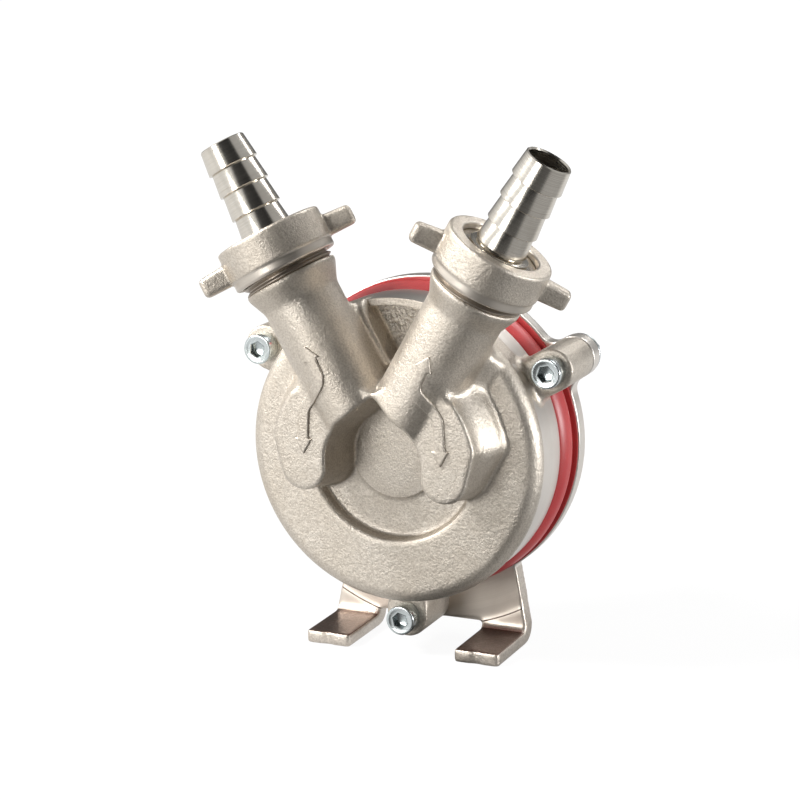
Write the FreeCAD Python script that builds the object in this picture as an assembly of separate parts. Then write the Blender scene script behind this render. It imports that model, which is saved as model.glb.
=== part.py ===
import FreeCAD, Part
import math
import os

# Self-priming transfer pump, in millimetres.
# It is modelled about the shaft axis, which is the Y axis: the front casting's rear face is at y 0,
# the front is towards -Y, +X is to the right and +Z is up. The finished pieces are moved at the end
# so that the origin is under the middle of the pump, on the surface that its feet stand on.

V = FreeCAD.Vector
AXIS = V(0, 1, 0)

# Clearances
seat_gap = 0.3            # between seats that are assembled loosely
ring_lip_gap = 0.2        # radial, seal ring round its lip
running_gap = 0.05        # radial, shaft in bush and rings on the shaft
side_gap = 0.25           # each side of the impeller
bearing_gap = 0.05        # radial, bearings and seal in their bore
deep = 60.0               # longer than any cut needs to be
past = 1.0                # how far a cutter or a sunk root runs past the face that it meets

# Front casting
seal_land = 3.0           # turned wall outside the seal ring's lip
turned_depth = 13.2       # length of the turned wall
rim_step = 0.5            # cast rim outside the turned wall
rim_fillet = 4.0
face_depth = 18.3         # raised annulus over the side channel
recess_radius = 25.0      # sunk centre of the front
recess_draft = 0.4
recess_edge = 1.2
floor_depth = 14.7        # bottom of that recess
disc_radius = 13.4        # thin raised disc in the middle
disc_height = 0.6
sector_depth = 10.0       # low sector between the two branches
footing_sink = 2.0        # how far the branches' footing starts behind it
chamber_gap = 0.4         # radial, round the impeller
lip_wall = 1.7            # lip that centres the seal ring
lip_length = 4.5
running_depth = 6.0       # face that the impeller runs against

# Side channel and kidney ports inside the casting
channel_inset = 5.8       # middle of the channel inside the chamber's wall
channel_half_width = 4.0
channel_depth = 8.3
channel_break = 35.0      # half angle of the closed part at the top, degrees

# Port lobes on the front
lobe_depth = 31.6
lobe_outer_radius = 30.5
ridge_depth = 22.0
ridge_radius = 34.0
foot_radius = 35.7        # where the lobe's flank meets the annulus
flank_middle_depth = 26.2
flank_middle_radius = 31.3
flank_middle_draw = 0.2   # the flank's middle drawn in at the tip
tip_distance = 21.0       # centre of the round tip from the shaft axis
tip_angle = -6.5          # its direction below the horizontal, degrees
tip_radius = 6.8
tip_ridge_radius = 8.0
tip_foot_radius = 9.0
corner_angle = 11.0       # where the outer edge turns in towards the tip, degrees
ridge_corner_angle = 8.5
arch_height = 19.0        # point of the arch between the two lobes
arch_start = 61.0         # where the arch leaves the round inner wall, degrees
well_margin = 0.5         # between the branches' footing and the wall inside the lobes
lobe_edge = 1.6           # rounding of the flat top's edge
port_wall = 3.5           # metal round each kidney passage
port_corner_turn = 4.0    # its corner past the lobe's own, degrees
port_start = 0.5          # beginning of a branch's bore, past two bore radii from the shaft axis
port_reach = 5.5          # how far a passage reaches past its branch's axis, towards the other one

# Branches
branch_lean = 29.5        # degrees from the vertical
branch_depth = 23.1       # branch axis in front of the casting's rear face
branch_radius = 11.0
branch_bore = 8.0
branch_start = 9.0        # distances along a branch are from the shaft axis
neck_start = 49.5
collar_start = 54.8
collar_end = 56.2
collar_radius = 13.3
thread_radius = 13.0
thread_end = 63.1
thread_pitch = 1.814
thread_chamfer = 0.8
ledge_half_width = 12.7   # inner side of the branch's footing
ledge_depth = 12.6
valley_depth = 13.8
shoulder_width = 13.0     # outer side of the branch's footing
shoulder_depth = 20.2
shoulder_foot_width = 15.0
shoulder_foot_depth = 17.0

# Hose tails, gaskets and union nuts
gasket_thickness = 2.0
flange_radius = 12.9
flange_thickness = 3.2
tail_bore = 5.8
tail_collar_radius = 8.7
tail_collar_height = 1.3
tail_rim_radius = 6.55
tooth_radius = 7.35
tooth_root_radius = 6.5
tooth_stations = (90.3, 83.6, 76.5)
tail_end = 97.4
nut_radius = 15.35
nut_band_radius = 15.0
nut_band_height = 3.0
nut_start = 58.4
nut_lip = 2.0
nut_opening = 11.2
nut_edge = 1.3
wing_radius = 23.3
wing_thickness = 4.6
wing_height = 6.3
wing_drop = 3.0
wing_round = 2.0
wing_turn = 26.0          # degrees, how far the nuts are turned at rest

# Screw ears and their fasteners
ear_angles = (30, 150, 270)
ear_offset = 7.1          # screw axes outside the turned wall
ear_radius = 6.1
ear_root = 2.5            # ears start this far inside the wall
ear_depth = 8.2
ear_hole = 2.75
screw_radius = 2.45
screw_length = 30.0
screw_head_radius = 4.25
screw_head_height = 5.0
head_face_band = 0.1      # the front edges of a head lie within it
screw_socket = 4.0        # across flats
screw_socket_depth = 2.6
screw_head_edge = 0.5
nut_bore = 2.5
hex_nut_width = 8.0
hex_nut_height = 5.0
hex_flange_radius = 5.9
hex_flange_height = 1.2

# Seal ring, rear cover and feet
seal_gap = 9.5            # from the casting's rear face to the cover's flange
ring_bulge = 1.6
ring_land = 0.8           # flat of the ring, inside the casting's wall
cover_margin = 2.4        # cover's flange outside the turned wall
cover_thickness = 5.3
cover_edge = 0.8
ear_blend = 4.0
turned_margin = 3.1       # the cover's front is turned out to this far above the soles
turned_step = 0.3
leg_top_width = 25.8      # half width of the legs where they leave the flange
leg_top_height = 35.0
leg_width = 29.8          # half width at the feet
foot_inner = 16.0
sole_height = 60.4        # shaft axis above the soles
foot_thickness = 3.8
bridge_rise = 1.4         # lower edge between the feet above the feet's tops
foot_length = 12.6        # reach of the feet in front of the casting's rear face
bend_radius = 5.0
bend_inner_radius = 2.0
foot_corner = 1.2
notch_radius = 3.0
notch_depth = 0.5

# Bearing neck of the cover
neck_radius = 15.5
neck_flare_radius = 21.0
neck_flare_length = 7.0
neck_end = 41.0
neck_edge = 1.0
bearing_outer_radius = 11.0
bearing_width = 7.0
web_thickness = 2.5       # wall between chamber and shaft seal
slinger_gap = 8.0
spacer_width = 4.0
web_hole_gap = 0.3
weep_radius = 1.8
weep_offset = 5.0         # weep hole behind the seal
circlip_thickness = 1.0
circlip_groove_depth = 0.5
circlip_reach = 1.4       # how far the neck's retaining ring reaches in from the bore
circlip_half_gap = 14.0   # degrees
lug_radius = 1.1
lug_hole = 0.5
lug_offset = 0.3          # lugs outside the ring's inner edge
lug_angle = 20.0          # from the ring's opening, degrees

# Shaft, impeller and what is on the shaft
shaft_radius = 4.0
shaft_free_length = 27.0
shaft_chamfer = 0.6
shaft_collar_radius = 5.2 # shoulder that the front bearing sits against
collar_width = 2.4
bush_radius = 6.0
bush_length = 6.5
shaft_front_gap = 0.5     # shaft's front end before the bush's front end
impeller_radius = 37.9
impeller_width = 8.0
hub_radius = 13.0
vane_count = 20
vane_root = 3.2
vane_tip = 2.2
key_width = 3.0
key_height = 3.0
key_top_gap = 0.1
key_end_gap = 0.2
key_length = 6.0
key_depth = 1.8           # key seat below the shaft's surface
counterbore_radius = 7.2
counterbore_depth = 1.6
ring_radius = 6.2
ring_thickness = 0.8
ring_opening = 60.0       # degrees
groove_play = 0.1         # retaining rings in their grooves
groove_depth = 0.3
seal_wall = 1.3           # sleeve and end wall of the shaft seal
seal_lip_gap = 0.1        # radial, lip over the shaft
seal_lip_width = 0.9
seal_lip_point = 2.4      # where the lip is narrowest, from the seal's rear end
seal_lip_step = 1.2
seal_wedge = 2.2
spring_radius = 3.1       # middle of the garter spring outside the shaft
spring_wire = 0.6
spring_depth = 2.2        # from the front of the seal
slinger_offset = 1.5      # slinger behind the seal
slinger_length = 3.4
slinger_wall = 1.6
slinger_hub = 3.0         # radial thickness of its front
slinger_sleeve = 2.4
slinger_reach = 4.8
slinger_lip = 0.4
slinger_flare = 2.0

# Ball bearings
inner_ring_radius = 6.0
outer_ring_inner_radius = 9.1
ball_radius = 1.95
ball_count = 7
race_radius = 2.05
cage_inner = 6.8
cage_outer = 8.2
cage_half_width = 2.6
pocket_gap = 0.2
shield_thickness = 0.4
shield_inset = 0.3
shield_gap = 0.3          # radial, shield round the inner ring
bearing_edge = 0.4

# Sizes that follow from the ones above
chamber_radius = impeller_radius + chamber_gap
channel_radius = chamber_radius - channel_inset
lip_radius = chamber_radius + lip_wall
wall_radius = lip_radius + seal_land
rim_radius = wall_radius + rim_step
cover_radius = wall_radius + cover_margin
ear_pitch_radius = wall_radius + ear_offset
ear_root_radius = wall_radius - ear_root
turned_radius = sole_height - turned_margin
bore_start = 2 * branch_bore + port_start
spigot_radius = chamber_radius - seat_gap
spigot_face = impeller_width + 2 * side_gap - running_depth
cover_back = seal_gap + cover_thickness
bridge_height = sole_height - foot_thickness - bridge_rise
seal_start = spigot_face + web_thickness
seal_end = seal_start + bearing_width
front_bearing_start = seal_end + slinger_gap
rear_bearing_start = front_bearing_start + bearing_width + spacer_width
rear_bearing_end = rear_bearing_start + bearing_width
impeller_front = side_gap - running_depth
shaft_end = neck_end + shaft_free_length
flange_start = thread_end + gasket_thickness
flange_end = flange_start + flange_thickness
nut_end = flange_end + nut_lip
front_reach = branch_depth + nut_radius
middle_depth = (shaft_end - front_reach) / 2
tip_centre = V(tip_distance * math.cos(math.radians(tip_angle)), 0,
               tip_distance * math.sin(math.radians(tip_angle)))


def turned(points):
    """Solid of revolution about the shaft axis from (radius, y) points."""
    corners = [V(r, y, 0) for r, y in points]
    face = Part.Face(Part.makePolygon(corners + corners[:1]))
    return face.revolve(V(0, 0, 0), AXIS, 360)


def rod(radius, y_start, y_end, x=0, z=0):
    """Cylinder along the shaft direction."""
    return Part.makeCylinder(radius, y_end - y_start, V(x, y_start, z), AXIS)


def ring(outer, inner, y_start, y_end):
    return turned([(inner, y_start), (outer, y_start), (outer, y_end), (inner, y_end)])


def pillar(radius, start, end):
    """Cylinder about the Z axis, which stands for a branch's axis until it is leaned over."""
    return Part.makeCylinder(radius, end - start, V(0, 0, start))


def lathed(points):
    """Solid of revolution about the Z axis from (radius, z) points."""
    corners = [V(r, 0, z) for r, z in points]
    face = Part.Face(Part.makePolygon(corners + corners[:1]))
    return face.revolve(V(0, 0, 0), V(0, 0, 1), 360)


def slab(corners, y_start, y_end):
    """Prism from (x, z) corners."""
    points = [V(x, y_start, z) for x, z in corners]
    face = Part.Face(Part.makePolygon(points + points[:1]))
    return face.extrude(V(0, y_end - y_start, 0))


def at_angle(shape, degrees):
    """Copy turned about the shaft axis so that its +X side points at an angle from +X towards +Z."""
    copy = shape.copy()
    copy.rotate(V(0, 0, 0), AXIS, -degrees)
    return copy


def on_branch(shape, side):
    """Copy of a shape about the Z axis, leaned over and put on the left (-1) or right (1) branch."""
    copy = shape.copy()
    copy.rotate(V(0, 0, 0), AXIS, side * branch_lean)
    copy.translate(V(0, -branch_depth, 0))
    return copy


def mirrored(shape):
    return shape.mirror(V(0, 0, 0), V(1, 0, 0))


def edges_where(shape, test):
    """Edges whose middle point passes a test."""
    found = []
    for edge in shape.Edges:
        middle = edge.valueAt((edge.FirstParameter + edge.LastParameter) / 2)
        if test(middle, edge):
            found.append(edge)
    return found


def is_circle(edge, radius):
    return edge.Curve.TypeId == "Part::GeomCircle" and abs(edge.Curve.Radius - radius) < 1e-4


def polar(radius, degrees, y):
    angle = math.radians(degrees)
    return V(radius * math.cos(angle), y, radius * math.sin(angle))


def arc(radius, start, end, y):
    """Arc about the shaft axis between two angles."""
    middle = (start + end) / 2
    return Part.Arc(polar(radius, start, y), polar(radius, middle, y), polar(radius, end, y)).toShape()


def lobe_outline(depth, outer, tip, corner, closed_angle):
    """Outline of the right lobe at one depth: outer arc, turn-in, round tip, inner arc and arch."""
    y = -depth
    centre = V(tip_centre.x, y, tip_centre.z)
    inner = tip_distance - tip
    corner_point = polar(outer, corner, y)
    reach = corner_point - centre
    swing = math.degrees(math.acos(tip / reach.Length))
    direction = math.degrees(math.atan2(reach.z, reach.x)) - swing
    tangent = centre + polar(tip, direction, 0)
    inner_tangent = polar(inner, tip_angle, y)
    low = (direction + tip_angle - 180) / 2
    arch_point = polar(inner, arch_start, y)
    arch_top = V(0, y, arch_height * inner / (tip_distance - tip_radius))
    beyond = arch_top + (arch_top - arch_point) * 0.1
    outer_end = polar(outer, closed_angle, y)
    edges = [
        arc(outer, closed_angle, corner, y),
        Part.makeLine(corner_point, tangent),
        Part.Arc(tangent, centre + polar(tip, low, 0), inner_tangent).toShape(),
        arc(inner, tip_angle, arch_start, y),
        Part.makeLine(arch_point, beyond),
        Part.makeLine(beyond, outer_end),
    ]
    return Part.Wire(edges)


def lobe():
    """Right port lobe: a steep footing, then a hollow flank up to the flat top."""
    closed = 90 - branch_lean
    foot = lobe_outline(floor_depth - past, foot_radius, tip_foot_radius, ridge_corner_angle, closed)
    ridge = lobe_outline(ridge_depth, ridge_radius, tip_ridge_radius, ridge_corner_angle, closed)
    middle_tip = (tip_radius + tip_ridge_radius) / 2 - flank_middle_draw
    middle = lobe_outline(flank_middle_depth, flank_middle_radius, middle_tip,
                          (corner_angle + ridge_corner_angle) / 2, closed)
    top = lobe_outline(lobe_depth, lobe_outer_radius, tip_radius, corner_angle, closed)
    footing = Part.makeLoft([foot, ridge], True, True)
    upper = Part.makeLoft([ridge, middle, top], True, False)
    return footing.fuse(upper)


def branch_metal():
    """Outside of one branch about the Z axis: pipe, flared neck, collar and plain thread."""
    return lathed([
        (0, branch_start), (branch_radius, branch_start), (branch_radius, neck_start),
        (collar_radius, collar_start), (collar_radius, collar_end), (thread_radius, collar_end),
        (thread_radius, thread_end - thread_chamfer), (thread_radius - thread_chamfer, thread_end),
        (0, thread_end)])


def branch_footing():
    """Footing under the right branch: low ledge on the inner side, shoulder on the outer side."""
    lift = branch_depth
    section = [
        (-ledge_half_width, lift - sector_depth + footing_sink), (-ledge_half_width, lift - ledge_depth),
        (-branch_radius, lift - valley_depth), (-branch_radius, 0), (branch_radius, 0),
        (branch_radius, lift - shoulder_depth - past), (shoulder_width, lift - shoulder_depth),
        (shoulder_foot_width, lift - shoulder_foot_depth),
        (shoulder_foot_width, lift - sector_depth + footing_sink)]
    points = [V(x, y, branch_start) for x, y in section]
    face = Part.Face(Part.makePolygon(points + points[:1]))
    beam = on_branch(face.extrude(V(0, 0, rim_radius)), 1)
    return beam.common(rod(wall_radius + rim_step / 2, -branch_depth - past, -sector_depth + footing_sink))


def well():
    """Space inside the two lobes, with the pointed arch at its top."""
    radius = tip_distance - tip_radius + well_margin
    half = radius * math.cos(math.radians(arch_start))
    spring = radius * math.sin(math.radians(arch_start))
    arch = slab([(-half, spring), (half, spring), (0, arch_height + well_margin)], -deep, -floor_depth)
    return rod(radius, -deep, -floor_depth).fuse(arch)


def ear(radius, y_start, y_end):
    """Ear at angle 0, straight sided from the wall out to its round end."""
    block = Part.makeBox(ear_pitch_radius - ear_root_radius, y_end - y_start, 2 * radius,
                         V(ear_root_radius, y_start, -radius))
    return block.fuse(rod(radius, y_start, y_end, ear_pitch_radius))


def ear_holes(y_start, y_end):
    return [at_angle(rod(ear_hole, y_start, y_end, ear_pitch_radius), a) for a in ear_angles]


def port_passages():
    """Kidney passages from the running face up into the two lobes."""
    closed = 90 - branch_lean
    outline = lobe_outline(lobe_depth - port_wall, lobe_outer_radius - port_wall, tip_radius - port_wall,
                           corner_angle + port_corner_turn, closed)
    passage = Part.Face(outline).extrude(V(0, lobe_depth, 0))
    passage = passage.common(rod(deep, -lobe_depth, -running_depth + past))
    lean = math.radians(branch_lean)
    inner_side = V(-math.cos(lean), 0, math.sin(lean))
    along = V(math.sin(lean), 0, math.cos(lean))
    near = inner_side * port_reach
    far = inner_side * deep
    corners = [near - along * deep, near + along * deep, far + along * deep, far - along * deep]
    passage = passage.cut(slab([(c.x, c.z) for c in corners], -deep, 0))
    return [passage, mirrored(passage)]


def side_channel():
    """Half-round channel in the running face, closed over the top."""
    start = V(channel_radius - channel_half_width, -running_depth + past, 0)
    shoulder = channel_depth - channel_half_width
    points = [
        start, V(channel_radius - channel_half_width, -running_depth - shoulder, 0),
        V(channel_radius + channel_half_width, -running_depth - shoulder, 0),
        V(channel_radius + channel_half_width, -running_depth + past, 0)]
    bottom = V(channel_radius, -running_depth - channel_depth, 0)
    edges = [
        Part.makeLine(points[0], points[1]), Part.Arc(points[1], bottom, points[2]).toShape(),
        Part.makeLine(points[2], points[3]), Part.makeLine(points[3], points[0])]
    swept = Part.Face(Part.Wire(edges)).revolve(V(0, 0, 0), AXIS, 360 - 2 * channel_break)
    return at_angle(swept, 90 - channel_break)


def casting_disc():
    """Turned and cast body of the casting, with its rounded rim and sunk centre."""
    disc = turned([
        (0, -floor_depth), (recess_radius - recess_draft, -floor_depth), (recess_radius, -face_depth),
        (rim_radius, -face_depth), (rim_radius, -turned_depth - rim_step), (wall_radius, -turned_depth),
        (wall_radius, 0), (lip_radius, 0), (lip_radius, lip_length), (0, lip_length)])
    rim = edges_where(disc, lambda m, e: is_circle(e, rim_radius) and abs(m.y + face_depth) < 1e-3)
    disc = disc.makeFillet(rim_fillet, rim)
    brink = edges_where(disc, lambda m, e: is_circle(e, recess_radius) and abs(m.y + face_depth) < 1e-3)
    disc = disc.makeFillet(recess_edge, brink)
    lean = math.radians(branch_lean)
    apex = ledge_half_width / math.sin(lean)
    spread = (deep - apex) * math.tan(lean)
    disc = disc.cut(slab([(0, apex), (spread, deep), (-spread, deep)], -deep, -sector_depth))
    return disc.fuse(rod(disc_radius, -floor_depth - disc_height, -floor_depth + past))


def front_casting():
    """Front casting with branches, lobes, ears, chamber, ports, channel and bush seat."""
    footing = branch_footing()
    branches = [on_branch(branch_metal(), side) for side in (-1, 1)]
    outside = branches[0].multiFuse([branches[1], footing, mirrored(footing)]).cut(well())
    right_lobe = lobe()
    ears = [at_angle(ear(ear_radius, -ear_depth, seal_gap), a) for a in ear_angles]
    metal = casting_disc()
    for piece in [outside, right_lobe, mirrored(right_lobe)] + ears:
        metal = metal.fuse(piece)
    ring_path = rod(wall_radius + ring_bulge + seat_gap, 0, seal_gap).cut(rod(lip_radius, 0, seal_gap))
    above_lip = rod(lip_radius + past, lip_length, seal_gap)
    chamber = rod(chamber_radius, -running_depth, seal_gap)
    seat = rod(bush_radius + bearing_gap, -running_depth - bush_length - seat_gap, 0)
    bores = [on_branch(pillar(branch_bore, bore_start, thread_end + past), side) for side in (-1, 1)]
    cuts = [ring_path, above_lip, chamber, side_channel(), seat] + bores + port_passages()
    for piece in cuts + ear_holes(-deep, deep):
        metal = metal.cut(piece)
    return metal


def seal_ring():
    """Soft ring between casting and cover, flat on both and bulging between them."""
    inner = lip_radius + ring_lip_gap
    land = wall_radius - ring_land
    bottom = V(land, 0, 0)
    top = V(land, seal_gap, 0)
    edges = [
        Part.makeLine(V(inner, 0, 0), bottom),
        Part.Arc(bottom, V(wall_radius + ring_bulge, seal_gap / 2, 0), top).toShape(),
        Part.makeLine(top, V(inner, seal_gap, 0)), Part.makeLine(V(inner, seal_gap, 0), V(inner, 0, 0))]
    return Part.Face(Part.Wire(edges)).revolve(V(0, 0, 0), AXIS, 360)


def leg_plate():
    """Legs below the cover, with the feet turned forward."""
    corners = [
        (-leg_top_width, -leg_top_height), (leg_top_width, -leg_top_height), (leg_width, -bridge_height),
        (leg_width, -sole_height), (foot_inner, -sole_height), (foot_inner, -bridge_height),
        (-foot_inner, -bridge_height), (-foot_inner, -sole_height), (-leg_width, -sole_height),
        (-leg_width, -bridge_height)]
    plate = slab(corners, seal_gap - turned_step, cover_back)
    plate = plate.cut(rod(turned_radius, 0, seal_gap))
    feet = []
    for side in (-1, 1):
        inner = side * foot_inner
        outer = side * leg_width
        left = min(inner, outer)
        foot = Part.makeBox(leg_width - foot_inner, foot_length + cover_back, foot_thickness,
                            V(left, -foot_length, -sole_height))
        ends = edges_where(foot, lambda m, e: abs(m.y + foot_length) < 1e-3
                           and abs(e.Vertexes[0].Z - e.Vertexes[-1].Z) > 1)
        foot = foot.makeFillet(foot_corner, ends)
        middle = (inner + outer) / 2
        notch = Part.makeCylinder(notch_radius, foot_thickness + 2,
                                  V(middle, -foot_length + notch_depth - notch_radius, -sole_height - 1))
        feet.append(foot.cut(notch))
    plate = plate.multiFuse(feet).removeSplitter()
    heels = edges_where(plate, lambda m, e: abs(m.y - cover_back) < 1e-3 and abs(m.z + sole_height) < 1e-3)
    plate = plate.makeFillet(bend_radius, heels)
    insteps = edges_where(plate, lambda m, e: abs(m.y - seal_gap + turned_step) < 1e-3
                          and abs(m.z + sole_height - foot_thickness) < 1e-3)
    return plate.makeFillet(bend_inner_radius, insteps)


def cover_flange():
    """Round flange with its three ears, blended into the rim."""
    flange = rod(cover_radius, seal_gap, cover_back)
    ears = [at_angle(ear(ear_radius, seal_gap, cover_back), a) for a in ear_angles]
    flange = flange.multiFuse(ears).removeSplitter()
    junction = math.sqrt(cover_radius ** 2 - ear_radius ** 2)
    corners = edges_where(flange, lambda m, e: abs(e.Vertexes[0].Y - e.Vertexes[-1].Y) > 1
                          and abs(math.hypot(m.x, m.z) - math.hypot(junction, ear_radius)) < 1e-3)
    flange = flange.makeFillet(ear_blend, corners)
    back = edges_where(flange, lambda m, e: abs(m.y - cover_back) < 1e-3)
    return flange.makeFillet(cover_edge, back)


def rear_cover():
    """Cover with its spigot, legs, bearing neck and stepped bore."""
    neck = turned([
        (0, cover_back - past), (neck_flare_radius, cover_back - past), (neck_flare_radius, cover_back),
        (neck_radius, cover_back + neck_flare_length), (neck_radius, neck_end - neck_edge),
        (neck_radius - neck_edge, neck_end), (0, neck_end)])
    spigot = rod(spigot_radius, spigot_face, seal_gap + past)
    cover = cover_flange().multiFuse([leg_plate(), spigot, neck])
    shaft_hole = rod(shaft_radius + web_hole_gap, spigot_face - past, seal_start + past)
    bearing_bore = rod(bearing_outer_radius, seal_start, neck_end + past)
    groove = rod(bearing_outer_radius + circlip_groove_depth, rear_bearing_end,
                 rear_bearing_end + circlip_thickness + groove_play)
    weep = Part.makeCylinder(weep_radius, deep, V(0, seal_end + weep_offset, 0), V(0, 0, -1))
    cover = cover.cut([shaft_hole, bearing_bore, groove, weep] + ear_holes(0, deep))
    return cover.removeSplitter()


def hexagon(width, y_start, y_end):
    """Hexagonal prism along the shaft direction."""
    corner = width / 2 / math.cos(math.radians(30))
    corners = [(corner * math.cos(math.radians(60 * k)), corner * math.sin(math.radians(60 * k)))
               for k in range(6)]
    return slab(corners, y_start, y_end)


def cover_screws():
    """Three socket head screws through the ears."""
    head = rod(screw_head_radius, -ear_depth - screw_head_height, -ear_depth)
    front = edges_where(head, lambda m, e: is_circle(e, screw_head_radius)
                        and m.y < -ear_depth - screw_head_height + head_face_band)
    head = head.makeChamfer(screw_head_edge, front)
    head = head.fuse(rod(screw_radius, -ear_depth - past, screw_length - ear_depth))
    socket = hexagon(screw_socket, -ear_depth - screw_head_height - past,
                     -ear_depth - screw_head_height + screw_socket_depth)
    screw = head.cut(socket)
    screw.translate(V(ear_pitch_radius, 0, 0))
    return Part.makeCompound([at_angle(screw, a) for a in ear_angles])


def cover_nuts():
    """Three flange nuts behind the cover's ears."""
    nut = hexagon(hex_nut_width, cover_back + hex_flange_height / 2, cover_back + hex_nut_height)
    nut = nut.fuse(rod(hex_flange_radius, cover_back, cover_back + hex_flange_height))
    nut = nut.cut(rod(nut_bore, cover_back - past, cover_back + hex_nut_height + past))
    nut.translate(V(ear_pitch_radius, 0, 0))
    return Part.makeCompound([at_angle(nut, a) for a in ear_angles])


def hose_tail():
    """Serrated hose tail about the Z axis, with its flange at the bottom."""
    points = [(tail_bore, flange_start), (flange_radius, flange_start), (flange_radius, flange_end),
              (tail_collar_radius, flange_end), (tail_collar_radius, flange_end + tail_collar_height)]
    points.append((tooth_radius, flange_end + tail_collar_height))
    for station in reversed(tooth_stations):
        points.append((tooth_root_radius, station))
        points.append((tooth_radius, station))
    points.append((tail_rim_radius, tail_end))
    points.append((tail_bore, tail_end))
    return lathed(points)


def tail_gasket():
    return lathed([(branch_bore, thread_end), (flange_radius, thread_end),
                   (flange_radius, flange_start), (branch_bore, flange_start)])


def union_nut():
    """Union nut about the Z axis with two wings."""
    body = lathed([
        (0, nut_start), (nut_band_radius - nut_edge / 2, nut_start),
        (nut_band_radius, nut_start + nut_edge / 2), (nut_band_radius, nut_start + nut_band_height),
        (nut_radius, nut_start + nut_band_height), (nut_radius, nut_end), (0, nut_end)])
    brim = edges_where(body, lambda m, e: is_circle(e, nut_radius) and abs(m.z - nut_end) < 1e-3)
    body = body.makeFillet(nut_edge, brim)
    wing = Part.makeBox(2 * wing_radius, wing_thickness, wing_height,
                        V(-wing_radius, -wing_thickness / 2, nut_end - wing_drop - wing_height))
    ends = edges_where(wing, lambda m, e: abs(abs(m.x) - wing_radius) < 1e-3
                       and abs(e.Vertexes[0].Z - e.Vertexes[-1].Z) > 1)
    wing = wing.makeFillet(wing_round, ends)
    wing.rotate(V(0, 0, 0), V(0, 0, 1), wing_turn)
    nut = body.fuse(wing)
    nut = nut.cut(pillar(thread_radius + seat_gap, nut_start - past, flange_end))
    return nut.cut(pillar(nut_opening, nut_start, nut_end + past)).removeSplitter()


def impeller():
    """Star impeller: a hub with open radial vanes, a keyway and a pocket for the retaining ring."""
    y_start = impeller_front
    y_end = impeller_front + impeller_width
    vane = slab([(hub_radius - past, -vane_root / 2), (impeller_radius + past, -vane_tip / 2),
                 (impeller_radius + past, vane_tip / 2), (hub_radius - past, vane_root / 2)], y_start, y_end)
    vane = vane.common(rod(impeller_radius, y_start, y_end))
    vanes = [at_angle(vane, 360 * k / vane_count) for k in range(vane_count)]
    star = rod(hub_radius, y_start, y_end).multiFuse(vanes)
    bore = rod(shaft_radius + running_gap, y_start - past, y_end + past)
    pocket = rod(counterbore_radius, y_start - past, y_start + counterbore_depth)
    keyway = Part.makeBox(key_width, impeller_width + 2 * past, shaft_radius - key_depth + key_height,
                          V(-key_width / 2, y_start - past, 0))
    return star.cut([bore, pocket, keyway]).removeSplitter()


def key_start():
    return impeller_front + counterbore_depth + key_end_gap


def impeller_key():
    return Part.makeBox(key_width, key_length, key_height - key_top_gap,
                        V(-key_width / 2, key_start(), shaft_radius - key_depth))


def shaft_groove(y_start, thickness):
    """Ring of metal that a retaining ring's groove takes out of the shaft."""
    return ring(shaft_radius + past, shaft_radius - groove_depth, y_start, y_start + thickness)


def drive_shaft():
    """Shaft with its key seat, bearing collar, two ring grooves and chamfered ends."""
    start = -running_depth - bush_length + shaft_front_gap
    collar_front = front_bearing_start - collar_width
    shaft = turned([
        (0, start), (shaft_radius - shaft_chamfer, start), (shaft_radius, start + shaft_chamfer),
        (shaft_radius, collar_front), (shaft_collar_radius, collar_front),
        (shaft_collar_radius, front_bearing_start), (shaft_radius, front_bearing_start),
        (shaft_radius, shaft_end - shaft_chamfer), (shaft_radius - shaft_chamfer, shaft_end),
        (0, shaft_end)])
    seat = Part.makeBox(key_width, key_length, key_height + past,
                        V(-key_width / 2, key_start(), shaft_radius - key_depth))
    front = shaft_groove(front_ring_start(), ring_thickness + groove_play)
    rear = shaft_groove(rear_bearing_end, ring_thickness + groove_play)
    return shaft.cut([seat, front, rear])


def front_ring_start():
    return impeller_front + counterbore_depth - ring_thickness - groove_play


def retaining_ring(y_start, gap_angle):
    """Open ring for a groove in the shaft."""
    full = ring(ring_radius, shaft_radius - groove_depth + running_gap, y_start, y_start + ring_thickness)
    half = ring_radius * 2 * math.tan(math.radians(gap_angle / 2))
    opening = slab([(0, 0), (half, -ring_radius * 2), (-half, -ring_radius * 2)],
                   y_start - past, y_start + ring_thickness + past)
    return full.cut(opening)


def neck_circlip():
    """Open ring in the groove of the neck, with two lugs."""
    outer = bearing_outer_radius + circlip_groove_depth - bearing_gap
    inner = bearing_outer_radius - circlip_reach
    start = rear_bearing_end
    end = start + circlip_thickness
    full = ring(outer, inner, start, end)
    half = outer * math.tan(math.radians(circlip_half_gap))
    opened = full.cut(slab([(0, 0), (half * 2, outer * 2), (-half * 2, outer * 2)],
                           start - past, end + past))
    lugs = []
    for side in (-1, 1):
        lug = at_angle(rod(lug_radius, start, end, inner + lug_offset), 90 + side * lug_angle)
        hole = at_angle(rod(lug_hole, start - past, end + past, inner + lug_offset), 90 + side * lug_angle)
        opened = opened.fuse(lug).cut(hole)
    return opened


def front_bush():
    return ring(bush_radius, shaft_radius + running_gap, -running_depth - bush_length, -running_depth)


def shaft_seal():
    """Rotary lip seal: a cup with a lip that reaches towards the chamber."""
    outer = bearing_outer_radius - bearing_gap
    lip = shaft_radius + seal_lip_gap
    step = lip + seal_lip_step
    return turned([
        (outer, seal_start), (outer, seal_end), (step, seal_end), (step, seal_end - seal_lip_step),
        (lip, seal_end - seal_lip_point - seal_wedge), (lip + seal_lip_width, seal_start + seal_lip_width),
        (lip + 2 * seal_lip_width, seal_start + seal_lip_step),
        (lip + seal_wedge, seal_end - seal_wall), (outer - seal_wall, seal_end - seal_wall),
        (outer - seal_wall, seal_start)])


def seal_spring():
    """Garter spring of the seal, as a plain ring round the lip."""
    return Part.makeTorus(shaft_radius + spring_radius, spring_wire, V(0, seal_start + spring_depth, 0),
                          AXIS)


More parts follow.
